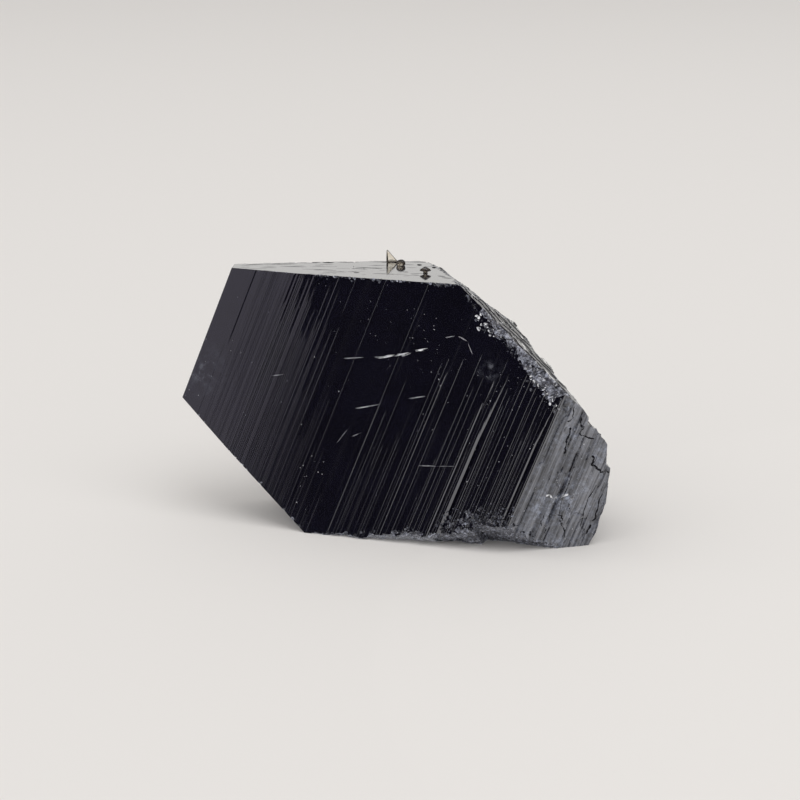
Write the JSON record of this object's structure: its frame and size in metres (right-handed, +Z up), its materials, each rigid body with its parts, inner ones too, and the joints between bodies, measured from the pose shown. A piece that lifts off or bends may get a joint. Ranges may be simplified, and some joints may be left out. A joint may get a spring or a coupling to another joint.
{
  "type": "anatase crystal",
  "caption": "Blue-black steep bipyramidal anatase crystal, striated and broken at one end, lying on a pyramid face, with tiny clear quartz crystals on its top face.",
  "frame": {"origin": "centre of the underside of the crystal's box, on the surface it lies on", "axes": "+Z up, +X from the flat end towards the broken end, -Y out of the broad striated front face"},
  "size_m": [0.0214, 0.01, 0.0135],
  "materials": {
    "anatase": "polished",
    "quartz": "gloss"
  },
  "bodies": {
    "root": {"anatase_crystal": "anatase", "quartz_splinter": "quartz", "quartz_grain": "quartz", "quartz_bud": "quartz"}
  },
  "joints": []
}
